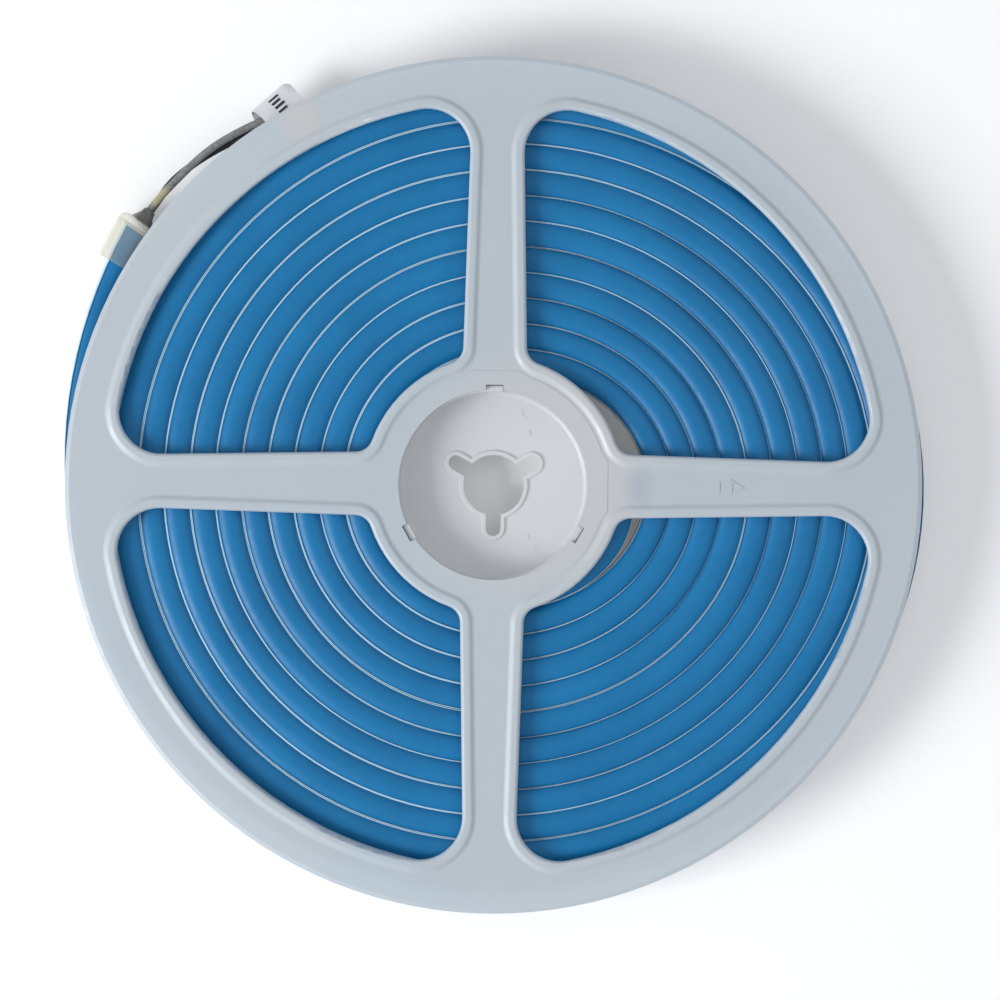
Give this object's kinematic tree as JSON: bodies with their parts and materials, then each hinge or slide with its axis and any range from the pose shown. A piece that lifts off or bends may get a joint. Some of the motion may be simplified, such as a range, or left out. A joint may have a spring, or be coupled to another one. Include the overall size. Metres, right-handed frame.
{
  "type": "reel of LED neon strip",
  "caption": "Flat plastic reel with four-window flanges and a three-lobed drive hole, holding a wound length of blue silicone LED neon strip with its end cap, leads and label.",
  "frame": {"origin": "centre of the drive hole, on the reel's axis, midway between the flanges", "axes": "+Z along the reel's axis, out through the front flange; +X along the spoke that carries the moulded triangle"},
  "size_m": [0.2014, 0.2, 0.0184],
  "materials": {
    "reel_plastic": "semi-gloss moulded polystyrene, slightly translucent",
    "white_silicone": "satin extruded silicone",
    "blue_silicone": "satin translucent silicone",
    "flex_circuit": "white solder mask",
    "led_package": "moulded package with a pale yellow lens",
    "resistor_black": "matte ceramic",
    "clear_silicone": "milky translucent silicone",
    "sealant": "clear adhesive",
    "solder": "bright tin",
    "boot_grey": "satin",
    "grey_insulation": "clear insulation over tinned strands",
    "black_insulation": "satin PVC",
    "label_white": "printed vinyl film"
  },
  "bodies": {
    "reel": {"rear_flange": "reel_plastic", "hub_core": "reel_plastic"},
    "front_flange": {"front_flange": "reel_plastic"},
    "strip": {"neon_jacket": "white_silicone", "neon_diffuser": "blue_silicone", "flex_circuit": "flex_circuit", "led_chips": "led_package", "resistors": "resistor_black", "inner_end_cap": "clear_silicone", "outer_end_cap": "clear_silicone", "inner_cap_plug": "sealant", "outer_cap_plug": "sealant", "lead_solder_joints": "solder", "lead_boot": "boot_grey", "positive_lead": "grey_insulation", "negative_lead": "black_insulation", "positive_lead_tip": "solder", "negative_lead_tip": "solder", "label_sleeve": "label_white"}
  },
  "joints": [
    {"name": "flange_pull", "type": "slide", "parent": "reel", "child": "front_flange", "axis": [0, 0, 1], "range_m": [0, 0.025]},
    {"name": "strip_turn", "type": "hinge", "parent": "reel", "child": "strip", "pos_m": [0, 0, 0], "axis": [0, 0, 1], "continuous": true}
  ]
}
